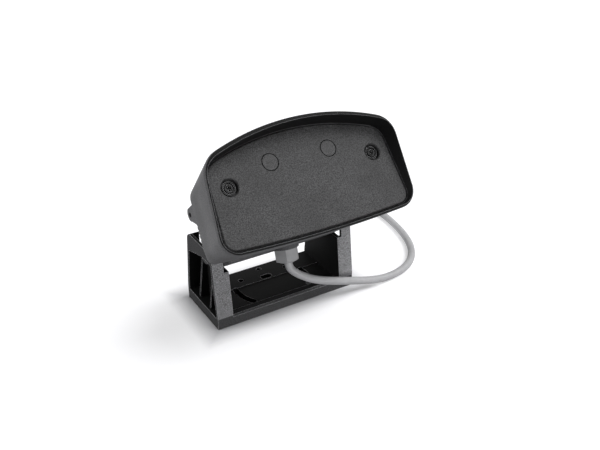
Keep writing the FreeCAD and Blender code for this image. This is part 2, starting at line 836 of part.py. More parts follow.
def rear_housing():
    """Rear cover with toothed sides, lifting lugs, board posts, and the neck that carries the head."""
    rear, front = "rear_back", "housing_back - gasket_wall"
    dish = head_prism(REAR_INSET, rear, front)
    hollow = head_prism(moved_in(REAR_INSET, size("rear_wall")), "rear_back + rear_wall", "housing_back")

    # Neck: a tapering hollow arm from the rear cover to the barrel on the tilt axis
    barrel = rod("neck_barrel", f"-{NECK_HALF}", NECK_HALF, "0", "0", ALONG_X)
    root = "rear_back + rear_wall / 2"
    arm = extrude(
        polygon(
            [
                ("-neck_barrel / 2", "0"),
                ("neck_bottom", root),
                ("neck_top", root),
                ("neck_barrel / 2", "0"),
            ],
            SIDE, (f"-{NECK_HALF}", "0", "0"),
        ),
        f"2 * {NECK_HALF}",
    )
    inside = f"{NECK_HALF} - insert_length - 2 * neck_wall"
    arm_hollow = extrude(
        polygon(
            [
                ("neck_wall - neck_barrel / 2", "neck_barrel / 2"),
                ("neck_bottom + neck_wall", "rear_back + rear_wall + 1"),
                ("neck_top - neck_wall", "rear_back + rear_wall + 1"),
                ("neck_barrel / 2 - neck_wall", "neck_barrel / 2"),
            ],
            SIDE, (f"-({inside})", "0", "0"),
        ),
        f"2 * ({inside})",
    )

    # Seat of the cable gland on the neck's underside
    seat = gland_frame(rod("gland_boss", "-gland_boss_depth", "0"))
    clear = gland_frame(rod("gland_boss + 2", "0", "gland_boss"))
    gland_hole = gland_frame(rod("gland_thread", "-gland_boss", "1"))
    locknut_room = gland_frame(
        rod(
            "gland_across_flats * 2 / sqrt(3) + 2 * locknut_play",
            "-gland_boss_depth - locknut_wall - locknut_play", "-gland_boss_depth",
        )
    )

    inserts = [
        rod("insert_diameter", f"{NECK_HALF} - insert_length", f"{NECK_HALF} + 1", "0", "0", ALONG_X)
    ]
    inserts.append(mirrored(inserts[0]))

    # Teeth on both side walls, then the lugs behind them
    teeth = []
    for i in range(int(size("tooth_count"))):
        up = f"tooth_start + {i} * tooth_pitch"
        lean = f"head_side_taper * ({up} - {REAR_LOW}) / ({REAR_HIGH} - {REAR_LOW})"
        edge = f"head_width / 2 - rear_side - {lean}"
        depth = (f"{edge} - rear_wall / 2", f"{edge} + tooth_height")
        teeth.append(box(depth, (up, f"{up} + tooth_width"), (rear, front)))
    lug_side = (f"{LUG_EDGE} - lug_wall", LUG_EDGE)
    lug = fuse(
        box(
            lug_side, ("lug_up - lug_width / 2", "lug_up + lug_width / 2"),
            ("rear_back - lug_reach", "rear_back + rear_wall"),
        ),
        rod("lug_width", *lug_side, "lug_up", "rear_back - lug_reach", ALONG_X),
        extrude(
            polygon(
                [
                    ("lug_up - lug_tail", "rear_back + rear_wall / 2"),
                    ("lug_up", "rear_back + rear_wall / 2"),
                    ("lug_up", "rear_back - lug_reach - lug_width * 0.4"),
                    ("lug_up - lug_width * 0.35", "rear_back - lug_reach - lug_width * 0.3"),
                ],
                SIDE, (lug_side[0], "0", "0"),
            ),
            "lug_wall",
        ),
    )
    lug_eye = rod(
        "lug_hole", f"{LUG_EDGE} - lug_wall - 1", f"{LUG_EDGE} + 1",
        "lug_up", "rear_back - lug_reach", ALONG_X,
    )
    lug = cut(lug, lug_eye)
    side_features = [*teeth, lug]
    posts = both_sides(
        lambda x: rod("post_diameter", "rear_back + 1", "cover_front - cover_wall", x, "cover_screw_up"),
        COVER_SCREW_SIDE,
    )
    board_posts = [rod("board_post", "rear_back + 1", "board_back", x, y) for x, y in board_screw_places()]
    bores = both_sides(
        lambda x: rod(
            "cover_screw", "cover_front - counterbore_depth - screw_reach", "cover_front", x, "cover_screw_up"
        ),
        COVER_SCREW_SIDE,
    )
    bores += [
        rod("board_screw", "board_back - board_screw_reach", "board_back + 1", x, y)
        for x, y in board_screw_places()
    ]
    screw_holes = []
    screw_pads = []
    for x, y in rear_screw_places():
        screw_pads.append(rod("rear_boss", "rear_back + 1", front, x, y))
        screw_holes.append(rod("rear_screw + 2 * screw_play", "rear_back - 1", "housing_back", x, y))
        sink = ("rear_back - 1", "rear_back + rear_screw_head_height")
        screw_holes.append(rod("rear_screw_head + 2 * screw_play", *sink, x, y))
    hollow_neck = cut(fuse(barrel, arm), arm_hollow)
    neck = cut(fuse(hollow_neck, seat), clear, locknut_room, gland_hole, *inserts)
    shell = cut(fuse(cut(dish, hollow), *screw_pads), *screw_holes, arm_hollow)
    body = fuse(shell, neck, *side_features, *[mirrored(feature) for feature in side_features])
    return on_head(cut(fuse(body, *posts, *board_posts), *bores), "rear_housing")


def rear_gasket():
    play, wall = size("gasket_play"), size("rear_wall")
    ring = cut(
        head_prism(moved_in(REAR_INSET, play), "housing_back - gasket_wall", "housing_back"),
        head_prism(moved_in(REAR_INSET, wall - play), "housing_back - 1", "housing_back + 1"),
    )
    return on_head(ring, "rear_gasket")


def rear_screws():
    """Four screws, sunk in the rear cover, that hold it to the front housing."""
    screws = []
    for x, y in rear_screw_places():
        blank = fuse(
            rod("rear_screw_head", "rear_back", "rear_back + rear_screw_head_height", x, y),
            rod("rear_screw", "rear_back + 1", "housing_back + rear_screw_reach - 1", x, y),
        )
        slot = box(
            (f"{x} - rear_screw_head", f"{x} + rear_screw_head"),
            (f"{y} - cross_width / 2", f"{y} + cross_width / 2"),
            ("rear_back - 1", "rear_back + cross_depth"),
        )
        screws.append(cut(blank, slot))
    return on_head(group(screws), "rear_screws")


# Boards inside the head


def main_board():
    board = box((f"-{BOARD_HALF}", BOARD_HALF), ("board_low", "board_high"), ("board_back", BOARD_FRONT))
    holes = [
        rod("board_screw + 2 * screw_play", "board_back - 1", f"{BOARD_FRONT} + 1", x, y)
        for x, y in board_screw_places()
    ]
    return on_head(cut(board, *holes), "main_board")


def board_screws():
    screws = [
        fuse(
            rod("board_screw_head", BOARD_FRONT, f"{BOARD_FRONT} + board_screw_head_height", x, y),
            rod("board_screw", "board_back - board_screw_reach + 1", BOARD_FRONT, x, y),
        )
        for x, y in board_screw_places()
    ]
    return on_head(group(screws), "board_screws")


def radar_shield():
    """Folded metal can, open towards the main board, under the antenna board."""
    can = box(
        (f"-{SHIELD_HALF}", SHIELD_HALF),
        ("shield_up - shield_height / 2", "shield_up + shield_height / 2"),
        (BOARD_FRONT, f"{BOARD_FRONT} + shield_depth"),
    )
    hollow = box(
        (f"shield_wall - {SHIELD_HALF}", f"{SHIELD_HALF} - shield_wall"),
        ("shield_up + shield_wall - shield_height / 2", "shield_up - shield_wall + shield_height / 2"),
        (f"{BOARD_FRONT} - 1", f"{BOARD_FRONT} + shield_depth - shield_wall"),
    )
    return on_head(cut(can, hollow), "radar_shield")


def antenna_board():
    """Planar antenna: a board with two rows of square copper patches."""
    back = f"{BOARD_FRONT} + shield_depth"
    board = box(
        (f"-{ANTENNA_HALF}", ANTENNA_HALF),
        ("shield_up - antenna_height / 2", "shield_up + antenna_height / 2"),
        (back, f"{back} + antenna_wall"),
    )
    front = f"{back} + antenna_wall"
    patches = [
        box(
            (f"{column} * patch_pitch - patch_size / 2", f"{column} * patch_pitch + patch_size / 2"),
            (
                f"shield_up + {row} * patch_pitch - patch_size / 2",
                f"shield_up + {row} * patch_pitch + patch_size / 2",
            ),
            (f"{front} - patch_wall", f"{front} + patch_wall"),
        )
        for column in (-1.5, -0.5, 0.5, 1.5)
        for row in (-0.5, 0.5)
    ]
    return on_head(fuse(board, *patches), "antenna_board")


def board_component(label, x, depth):
    return on_head(
        box(
            (f"{x} - relay_width / 2", f"{x} + relay_width / 2"),
            ("relay_up - relay_height / 2", "relay_up + relay_height / 2"),
            (BOARD_FRONT, f"{BOARD_FRONT} + {depth}"),
        ),
        label,
    )


def status_led():
    led = rod("led_diameter", BOARD_FRONT, f"{BOARD_FRONT} + led_height", "-window_spacing / 2", "window_up")
    return on_head(led, "status_led")


def remote_receiver():
    return on_head(
        box(
            ("window_spacing / 2 - receiver_width / 2", "window_spacing / 2 + receiver_width / 2"),
            ("window_up - receiver_width / 2", "window_up + receiver_width / 2"),
            (BOARD_FRONT, f"{BOARD_FRONT} + receiver_height"),
        ),
        "remote_receiver",
    )


# Cable gland


def gland_frame(piece):
    """Seat a piece drawn along +Z on the gland's axis, which leans back under the neck."""
    moved = group([piece])
    moved.Placement = FreeCAD.Placement(V(0, 0, 0), FreeCAD.Rotation(V(1, 0, 0), 112))
    bind(moved, "Placement.Rotation.Angle", "90 + gland_lean")
    bind(moved, "Placement.Base.y", "gland_up")
    bind(moved, "Placement.Base.z", "gland_out")
    return moved


def gland_body():
    body = fuse(
        hexagon("gland_across_flats", "0", "gland_collar"),
        rod("gland_thread", "-gland_nipple", "gland_collar + gland_neck"),
    )
    bore = rod("gland_bore", "-gland_nipple - 1", "gland_collar + gland_neck + 1")
    return on_head(gland_frame(cut(body, bore)), "gland_body")


GLAND_END = "gland_collar + gland_nut"


def gland_nut():
    """Hexagonal dome nut with a turned-down end, over the gland's threaded neck."""
    blank = hexagon("gland_across_flats", "gland_collar", GLAND_END)
    corner = "gland_across_flats * 2 / sqrt(3)"
    limit = fuse(
        rod(corner, "gland_collar", f"{GLAND_END} - gland_dome"),
        cone(corner, f"{corner} - 4 * gland_dome", f"{GLAND_END} - gland_dome", GLAND_END),
    )
    nut = cut(
        common(blank, limit),
        rod("gland_thread", "gland_collar - 1", f"{GLAND_END} - gland_nut_wall"),
        rod("gland_bore", "gland_collar", f"{GLAND_END} + 1"),
    )
    return on_head(gland_frame(nut), "gland_nut")


def gland_seal():
    ring = cut(
        rod("gland_thread", "gland_collar + gland_neck", f"{GLAND_END} - gland_nut_wall"),
        rod("cable_diameter", "gland_collar", GLAND_END),
    )
    return on_head(gland_frame(ring), "gland_seal")


def cable_tail():
    """The cable's inner end, gripped by the gland's seal and led on into the neck."""
    return on_head(gland_frame(rod("cable_diameter", "-gland_nipple - tail_reach", GLAND_END)), "cable_tail")


def gland_locknut():
    seat = "-gland_boss_depth"
    nut = cut(
        hexagon("gland_across_flats", f"{seat} - locknut_wall", seat),
        rod("gland_thread", f"{seat} - locknut_wall - 1", "0"),
    )
    return on_head(gland_frame(nut), "gland_locknut")


# Tilt axis


def pivot_inserts():
    insert = cut(
        rod("insert_diameter", f"{NECK_HALF} - insert_length", NECK_HALF, "0", "0", ALONG_X),
        rod("pivot_screw", f"{NECK_HALF} - insert_length - 1", f"{NECK_HALF} + 1", "0", "0", ALONG_X),
    )
    return on_head(group([insert, mirrored(insert)]), "pivot_inserts")


def pivot_screws():
    """Socket screws through the cheeks' webs into the neck's inserts."""
    seat = "base_width / 2 - cheek_width + web_wall + pivot_washer_wall + pivot_play"
    screw = fuse(
        rod("pivot_screw", f"{NECK_HALF} - insert_length", seat, "0", "0", ALONG_X),
        rod("pivot_head", seat, f"{seat} + pivot_head_height", "0", "0", ALONG_X),
    )
    socket = DOC.addObject("Part::Prism", "socket")
    socket.Polygon = 6
    bind(socket, "Circumradius", "pivot_socket / sqrt(3)")
    bind(socket, "Height", "pivot_head_height")
    place(socket, f"{seat} + pivot_head_height / 2", rotation=ALONG_X)
    screw = cut(screw, socket)
    return on_head(group([screw, mirrored(screw)]), "pivot_screws")


# Cable


def gland_exit():
    """The gland's mouth and outward direction in the bracket's frame."""
    turn = FreeCAD.Rotation(V(1, 0, 0), 90 - size("face_tilt"))
    lean = math.radians(size("gland_lean"))
    outward = turn.multVec(V(0, -math.cos(lean), -math.sin(lean)))
    reach = size("gland_collar") + size("gland_nut")
    seat = turn.multVec(V(0, size("gland_up"), size("gland_out"))) + V(0, 0, size("pivot_height"))
    return seat + outward * reach, outward


def cable():
    """The free stretch: straight runs joined by tangent arcs, as large as the runs allow."""
    mouth, outward = gland_exit()
    points = [mouth, mouth + outward * CABLE_EXIT_RUN] + [V(*point) for point in CABLE_ROUTE]
    radii = []
    edges = []
    start = points[0]
    for before, here, after in zip(points, points[1:], points[2:]):
        incoming, outgoing = (here - before).normalize(), (after - here).normalize()
        turn = incoming.getAngle(outgoing)
        trim = 0.45 * min((here - before).Length, (after - here).Length)
        radius = trim / math.tan(turn / 2)
        radii.append(round(radius / size("cable_diameter"), 1))
        bend_in, bend_out = here - incoming * trim, here + outgoing * trim
        inner = (outgoing - incoming).normalize()
        middle = here + inner * (radius / math.cos(turn / 2) - radius)
        edges.append(Part.LineSegment(start, bend_in).toShape())
        edges.append(Part.Arc(bend_in, middle, bend_out).toShape())
        start = bend_out
    edges.append(Part.LineSegment(start, points[-1]).toShape())
    path = Part.Wire(edges)
    section = Part.Wire(Part.Circle(points[0], outward, size("cable_diameter") / 2).toShape())
    tube = path.makePipeShell([section], True, False)
    expected = math.pi / 4 * size("cable_diameter") ** 2 * path.Length
    print("cable bend radii in diameters:", radii)
    print("cable length:", round(path.Length, 1), "volume share:", round(tube.Volume / expected, 4))
    feature = DOC.addObject("Part::Feature", "cable")
    feature.Shape = tube
    return on_bracket(feature, "cable")


def coil_ring():
    """A ring of bevelled square section about the coil's axis, standing on the floor."""
    low, high = "coil_radius - coil_section / 2", "coil_radius + coil_section / 2"
    section = polygon(
        [
            (f"{low} + coil_bevel", "0"),
            (f"{high} - coil_bevel", "0"),
            (high, "coil_bevel"),
            (high, "coil_section - coil_bevel"),
            (f"{high} - coil_bevel", "coil_section"),
            (f"{low} + coil_bevel", "coil_section"),
            (low, "coil_section - coil_bevel"),
            (low, "coil_bevel"),
        ],
        FRONT,
    )
    ring = DOC.addObject("Part::Revolution", "ring")
    ring.Source = section
    ring.Axis = V(0, 0, 1)
    ring.Angle = 360
    ring.Solid = True
    return place(ring, "coil_x", "coil_y")


def coil_tie_solid():
    """A flat strap round the coil's section, on the side away from the bracket."""
    x_range = ("coil_x - tie_width / 2", "coil_x + tie_width / 2")
    middle = "coil_y + coil_radius"
    half, top = "(coil_section / 2 + tie_proud)", "coil_section + tie_proud"
    return cut(
        box(x_range, (f"{middle} - {half}", f"{middle} + {half}"), ("0", top)),
        box(
            ("coil_x - tie_width", "coil_x + tie_width"),
            (f"{middle} - {half} + tie_wall", f"{middle} + {half} - tie_wall"),
            ("tie_wall", f"{top} - tie_wall"),
        ),
    )


def cable_coil():
    """The outer shape of the put-away turns, drawn in where the tie holds them."""
    return on_bracket(cut(coil_ring(), coil_tie_solid()), "cable_coil")


def build():
    bracket()
    pivot_washers()
    front_housing()
    front_cover()
    cover_gasket()
    cover_screws()
    window("-window_spacing / 2", "status_window", f"{BOARD_FRONT} + led_height")
    window("window_spacing / 2", "receiver_window", f"{BOARD_FRONT} + receiver_height")
    rear_housing()
    rear_gasket()
    rear_screws()
    main_board()
    board_screws()
    radar_shield()
    antenna_board()
    board_component("relay", RELAY_SIDE, "relay_depth")
    board_component("terminal_block", f"-{RELAY_SIDE}", "terminal_depth")
    status_led()
    remote_receiver()
    gland_body()
    gland_seal()
    gland_nut()
    gland_locknut()
    cable_tail()
    pivot_inserts()
    pivot_screws()
    cable()
    cable_coil()
    on_bracket(coil_tie_solid(), "coil_tie")
    DOC.recompute()


def write_parts():
    """Stop on any failed object or bad shape, then write one STEP file for each node."""
    for obj in DOC.Objects:
        if any(state in ("Invalid", "Error") for state in obj.State):
            raise RuntimeError(f"{obj.Name} ({obj.Label}) failed: {obj.State}")
    for node in NODES:
        if node.Shape.isNull() or not node.Shape.isValid():
            raise RuntimeError(f"{node.Label} has no valid shape")
    os.makedirs("parts", exist_ok=True)
    for node in NODES:
        node.Shape.exportStep(f"parts/{node.Label}.step")
        print(node.Label, len(node.Shape.Solids), "solids,", round(node.Shape.Volume / 1000, 2), "cm3")


build()
write_parts()
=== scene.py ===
"""Door radar sensor: its finishes, cable, studio and camera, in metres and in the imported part's frame."""
import json
import math

import bpy
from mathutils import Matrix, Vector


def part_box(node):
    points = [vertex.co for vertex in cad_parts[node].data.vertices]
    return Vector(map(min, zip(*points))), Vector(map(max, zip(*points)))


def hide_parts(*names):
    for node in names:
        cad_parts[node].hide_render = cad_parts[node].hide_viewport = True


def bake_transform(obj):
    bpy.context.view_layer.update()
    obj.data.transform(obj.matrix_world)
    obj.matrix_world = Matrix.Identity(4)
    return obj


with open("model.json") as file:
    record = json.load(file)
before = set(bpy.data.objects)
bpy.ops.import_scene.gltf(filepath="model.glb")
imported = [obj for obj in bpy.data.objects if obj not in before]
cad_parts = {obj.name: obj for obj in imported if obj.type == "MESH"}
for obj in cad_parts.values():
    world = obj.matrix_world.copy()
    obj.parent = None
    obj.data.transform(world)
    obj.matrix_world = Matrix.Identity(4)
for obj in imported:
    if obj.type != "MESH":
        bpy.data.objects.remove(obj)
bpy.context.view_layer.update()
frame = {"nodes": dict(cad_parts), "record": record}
NODES = frame["nodes"]
BRACKET_LOW, BRACKET_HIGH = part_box("bracket")
ALONG_X = (1.0, 0.0, 0.0)
ALONG_Z = (0.0, 0.0, 1.0)

# Lights: name, direction that it comes from, level and spread in degrees
LIGHTS = [
    ("key_light", (0.45, -0.3, 0.84), 0.85, 36.0),
    ("left_light", (-0.93, 0.25, 0.27), 0.75, 45.0),
    ("front_light", (0.1, -0.99, 0.1), 0.6, 30.0),
    ("back_light", (0.25, 0.9, 0.36), 0.15, 70.0),
]

# Floor and background
WHITE = (1.0, 1.0, 1.0, 1.0)
FLOOR_SIZE = 12.0
FLOOR_ROUGHNESS = 0.9
FLOOR_TONE = 0.65  # where it is seen
FLOOR_BOUNCE = 0.35  # for the light that it throws back at the object
FLOOR_GLOW = 0.5  # added where it is seen
# Painted shadow: the floor's glow is held back near the bracket, so the floor is darker round it.
PAINTED_SHADOW_FADE = 0.015  # distance from the bracket over which the glow comes up
BACKGROUND = 1.0  # where it is seen
WORLD_LIGHT = 0.06  # for the light that it gives

# Camera that matches the photograph
CAMERA_PLACE = (-0.20307, -0.36697, 0.27599)
CAMERA_TURN_DEG = (61.62, 0.0, -31.57)
CAMERA_LENS_MM = 44.78
SENSOR_MM = 36.0
NEAREST_SEEN = 0.01

# Grain, clouds and smears of the finishes
BLUE_TINT = 1.03
SPECKLE_RANGE = (0.38, 0.62)  # of the noise, from a grain's dark end to its pale end
PATCH_RANGE = (0.35, 0.65)  # of the noise, across a cloud or smear
CLOUD_SIZE = 0.02
CLOUD_SHADE = 0.75
SMEAR_SIZE = 0.004
SMEAR_SHADES = (0.95, 1.05)
ROUGHNESS_SPREAD = 0.15

# Soft edges, and paler outer edges that are painted highlight and wear
MOULDED_EDGE = 0.0004
SMOOTH_EDGE = 0.0002
EDGE_SAMPLES = 6
TURN_RANGE = (0.94, 0.99)  # cosine of the normal's turn, from an edge to a face
CORNER_REACH = 0.0015  # how near another face has to be for an inner corner
OPEN_RANGE = (0.75, 0.9)  # openness, from an inner corner to an outer edge

# Painted shade on the hood's rim and inner walls
FACE_TILT_DEG = 39.7
COVER_HEIGHT = 0.0990  # along the face's normal, just over the cover
HOOD_FRONT = (0.0, -0.1094, 0.1541)  # a point in front of the hood, which its inner walls face
HOOD_FACING = 0.002  # how far in front of a wall that point lies at least

# Painted light on the bracket's outer faces
END_LEAN_DEG = 6.95  # of the cheeks' front and back
END_PLACE = 0.0215  # along the normal of the front or back, between its outer and inner faces
END_FACING = 0.5  # cosine of the widest turn from that normal
BASE_BAND = 0.0075  # just over the base's top
BASE_SHARE = 0.25
SIDE_DEPTH = 0.0005
SIDE_SHARE = 0.12

# Cable: its free stretch, from the gland's mouth to the coil
CABLE_DIAMETER = 0.0052
CABLE_ROUTE = [
    (0.0, -0.022035, 0.034209),
    (0.0, -0.02319, 0.03059),
    (0.00175, -0.0246, 0.0279),
    (0.0054, -0.0261, 0.0248),
    (0.0122, -0.0278, 0.0204),
    (0.0197, -0.0290, 0.0171),
    (0.0290, -0.0301, 0.0141),
    (0.0436, -0.0310, 0.0099),
    (0.0581, -0.0315, 0.0056),
    (0.0725, -0.0314, 0.0029),
    (0.0895, -0.0284, 0.0026),
    (0.1035, -0.0200, 0.0026),
    (0.1140, -0.0065, 0.0026),
    (0.1210, 0.0105, 0.0026),
    (0.1254, 0.0300, 0.0026),
    (0.1276, 0.0510, 0.0026),
    (0.1284, 0.0720, 0.0026),
    (0.1280, 0.0920, 0.0026),
]
CURVE_ORDER = 3
CURVE_STEPS = 4
TUBE_STEPS = 4

# Coil of the put-away length: rings beside each other in layers
COIL_CENTRE = (0.0917, 0.0970)
COIL_RADIUS = 0.0286
COIL_PITCH = 0.00528
COIL_RINGS = 4
COIL_LAYERS = 4
COIL_TURNS = 15.4
STEPS_PER_TURN = 24
STEPS_PER_MOVE = 3
MOVES_PER_LAYER = 2  # places on the turn: one where the cable changes rings and one where it climbs


# Nodes that the materials are built from


def new_material(name):
    """A material with its node tree and shader."""
    material = bpy.data.materials.new(name)
    material.use_nodes = True
    tree = material.node_tree
    return material, tree, tree.nodes["Principled BSDF"]


def grey(value):
    """A grey that leans slightly to blue."""
    return (value, value, value * BLUE_TINT)


def calculation(tree, kind, operation, values):
    """A node that works on values, each of which is another node's output or is given as it is."""
    node = tree.nodes.new(kind)
    node.operation = operation
    for socket, value in zip(node.inputs, values):
        if isinstance(value, bpy.types.NodeSocket):
            tree.links.new(value, socket)
        else:
            socket.default_value = value
    return node


def number_from(tree, operation, *numbers):
    """A number worked out from others."""
    return calculation(tree, "ShaderNodeMath", operation, numbers).outputs["Value"]


def vector_from(tree, operation, *vectors):
    """A vector worked out from others."""
    return calculation(tree, "ShaderNodeVectorMath", operation, vectors).outputs["Vector"]


def along(tree, vector, direction):
    """How far a vector reaches along a direction."""
    return calculation(tree, "ShaderNodeVectorMath", "DOT_PRODUCT", (vector, direction)).outputs["Value"]


def both_over(tree, first, first_limit, second, second_limit):
    """One where two numbers are both over their limits, and zero elsewhere."""
    return number_from(
        tree, "MULTIPLY",
        number_from(tree, "GREATER_THAN", first, first_limit),
        number_from(tree, "GREATER_THAN", second, second_limit),
    )


def scaled(tree, value, low, high, start=0.0, end=1.0):
    """A number between two ends, as a value goes from its start to its end."""
    node = tree.nodes.new("ShaderNodeMapRange")
    node.inputs["From Min"].default_value = start
    node.inputs["From Max"].default_value = end
    node.inputs["To Min"].default_value = low
    node.inputs["To Max"].default_value = high
    tree.links.new(value, node.inputs["Value"])
    return node.outputs["Result"]


def ramp(tree, value, ends, colours):
    """Colours from the two ends of a value's range."""
    node = tree.nodes.new("ShaderNodeValToRGB")
    for element, place, colour in zip(node.color_ramp.elements, ends, colours):
        element.position = place
        element.color = (*colour, 1.0)
    tree.links.new(value, node.inputs["Fac"])
    return node.outputs["Color"]


def mixed(tree, share, first, second):
    """One colour where a share is 0 and another where it is 1."""
    node = tree.nodes.new("ShaderNodeMix")
    node.data_type = "RGBA"
    tree.links.new(share, node.inputs["Factor"])
    tree.links.new(first, node.inputs["A"])
    tree.links.new(second, node.inputs["B"])
    return node.outputs["Result"]


def on_piece(tree):
    """A point's place and the surface's normal there, in the frame of the part at rest."""
    node = tree.nodes.new("ShaderNodeTexCoord")
    return node.outputs["Object"], node.outputs["Normal"]


def noise(tree, feature_size):
    """Noise whose features have a real size, the same on every piece."""
    place, _ = on_piece(tree)
    texture = tree.nodes.new("ShaderNodeTexNoise")
    texture.inputs["Scale"].default_value = 1.0 / feature_size
    tree.links.new(place, texture.inputs["Vector"])
    return texture.outputs["Fac"]


def soft_edges(tree, radius):
    """Normals that turn round an edge, as a moulded piece's do."""
    bevel = tree.nodes.new("ShaderNodeBevel")
    bevel.samples = EDGE_SAMPLES
    bevel.inputs["Radius"].default_value = radius
    return bevel.outputs["Normal"]


def worn_and_highlit_edges(tree, edge_normal):
    """One along outer edges, painted paler as a highlight and as wear from handling, and zero on faces and
    in inner corners.
    """
    # Painted highlight and wear: this mask makes the outer edges paler.
    face_normal = tree.nodes.new("ShaderNodeNewGeometry").outputs["Normal"]
    turned = scaled(tree, along(tree, edge_normal, face_normal), 1.0, 0.0, *TURN_RANGE)
    openness = tree.nodes.new("ShaderNodeAmbientOcclusion")
    openness.samples = EDGE_SAMPLES
    openness.only_local = True
    openness.inputs["Distance"].default_value = CORNER_REACH
    outer = scaled(tree, openness.outputs["AO"], 0.0, 1.0, *OPEN_RANGE)
    return number_from(tree, "MULTIPLY", turned, outer)


def vary_gloss(tree, shader, pattern, roughness):
    """Roughness that goes to both sides of its middle with a pattern."""
    low = roughness * (1.0 - ROUGHNESS_SPREAD)
    high = roughness * (1.0 + ROUGHNESS_SPREAD)
    tree.links.new(scaled(tree, pattern, low, high), shader.inputs["Roughness"])


# Regions of a piece with painted shade or painted light


def hood_painted_shade(tree):
    """One on the hood's rim and inner walls, which are painted near black as shade."""
    # Painted shade: this mask darkens the hood's rim and inner walls.
    place, normal = on_piece(tree)
    tilt = math.radians(FACE_TILT_DEG)
    height = along(tree, place, (0.0, -math.cos(tilt), math.sin(tilt)))
    facing = along(tree, vector_from(tree, "SUBTRACT", HOOD_FRONT, place), normal)
    return both_over(tree, facing, HOOD_FACING, height, COVER_HEIGHT)


def bracket_painted_light(tree):
    """Painted light on the bracket: how much paler its grain is painted, most on its cheeks' front and
    back, less on its base and sides.
    """
    place, normal = on_piece(tree)
    outward = number_from(tree, "ABSOLUTE", along(tree, place, ALONG_X))
    on_side = number_from(tree, "GREATER_THAN", outward, BRACKET_HIGH[0] - SIDE_DEPTH)
    over_base = number_from(tree, "GREATER_THAN", along(tree, place, ALONG_Z), BASE_BAND)
    share = scaled(tree, on_side, 0.0, SIDE_SHARE)
    end_share = scaled(tree, over_base, BASE_SHARE, 1.0)
    lean = math.radians(END_LEAN_DEG)
    for side in (-1, 1):
        end_normal = (0.0, side * math.cos(lean), math.sin(lean))
        facing = along(tree, normal, end_normal)
        reach = along(tree, place, end_normal)
        on_end = both_over(tree, facing, END_FACING, reach, END_PLACE)
        share = number_from(tree, "MAXIMUM", share, number_from(tree, "MULTIPLY", on_end, end_share))
    return share


# Finishes


def moulded_plastic(
    name, tones, roughness, specular, grain, depth, wear_and_highlight=None, region=None, region_tones=None
):
    """Moulded plastic with a spark-eroded grain: speckles, a fine bump and, where given, a region with
    painted shade or painted light and paler edges that are painted highlight and wear.
    """
    material, tree, shader = new_material(name)
    grain_noise = noise(tree, grain)

    def speckle(ends):
        return ramp(tree, grain_noise, SPECKLE_RANGE, [grey(end) for end in ends])

    clouds = scaled(tree, noise(tree, CLOUD_SIZE), 0.0, 1.0, *PATCH_RANGE)
    colour = mixed(tree, clouds, speckle(tones), speckle([tone * CLOUD_SHADE for tone in tones]))
    edge_normal = soft_edges(tree, MOULDED_EDGE)
    # A region in tones of its own: painted shade in the hood, painted light on the bracket's outer faces.
    if region:
        colour = mixed(tree, region(tree), colour, speckle(region_tones))
    # Paler outer edges: painted highlight, and wear.
    if wear_and_highlight:
        colour = mixed(tree, worn_and_highlit_edges(tree, edge_normal), colour, speckle(wear_and_highlight))
    tree.links.new(colour, shader.inputs["Base Color"])
    vary_gloss(tree, shader, grain_noise, roughness)
    shader.inputs["Specular IOR Level"].default_value = specular
    bump = tree.nodes.new("ShaderNodeBump")
    bump.inputs["Distance"].default_value = depth
    tree.links.new(grain_noise, bump.inputs["Height"])
    tree.links.new(edge_normal, bump.inputs["Normal"])
    tree.links.new(bump.outputs["Normal"], shader.inputs["Normal"])
    return material


def smooth_finish(name, colour, roughness, metallic=0.0, specular=0.5, edge=SMOOTH_EDGE, wear_and_highlight=None):
    """A smooth surface with smears in its colour and gloss, soft edges and, where given, paler ones that
    are painted highlight and wear.
    """
    material, tree, shader = new_material(name)
    smears = noise(tree, SMEAR_SIZE)

    def smeared(ends):
        return ramp(tree, smears, PATCH_RANGE, ends)

    base = smeared([[part * shade for part in colour] for shade in SMEAR_SHADES])
    edge_normal = soft_edges(tree, edge)
    # Paler outer edges: painted highlight, and wear.
    if wear_and_highlight:
        base = mixed(tree, worn_and_highlit_edges(tree, edge_normal), base, smeared([grey(end) for end in wear_and_highlight]))
    tree.links.new(base, shader.inputs["Base Color"])
    vary_gloss(tree, shader, smears, roughness)
    shader.inputs["Metallic"].default_value = metallic
    shader.inputs["Specular IOR Level"].default_value = specular
    tree.links.new(edge_normal, shader.inputs["Normal"])
    return material


# The pale edge tones paint highlights along the edges, and wear.
MOULDED_LOOKS = {
    "housing_plastic": dict(
        tones=(0.074, 0.128), roughness=0.6, specular=0.1, grain=0.0005, depth=0.00003,
        # region_tones: the hood's rim and inner walls, painted near black as shade
        wear_and_highlight=(0.16, 0.22), region=hood_painted_shade, region_tones=(0.003, 0.006),
    ),
    "cover_plastic": dict(tones=(0.01, 0.069), roughness=0.65, specular=0.3, grain=0.0006, depth=0.00008),
    "bracket_plastic": dict(
        tones=(0.004, 0.01), roughness=0.65, specular=0.05, grain=0.0005, depth=0.00004,
        # tones: the bracket's black plastic, kept very dark as painted shade for its inside; region_tones:
        # painted light on its outer faces
        wear_and_highlight=(0.3, 0.5), region=bracket_painted_light, region_tones=(0.12, 0.34),
    ),
    "window_plastic": dict(tones=(0.012, 0.07), roughness=0.6, specular=0.3, grain=0.0006, depth=0.00006),
}
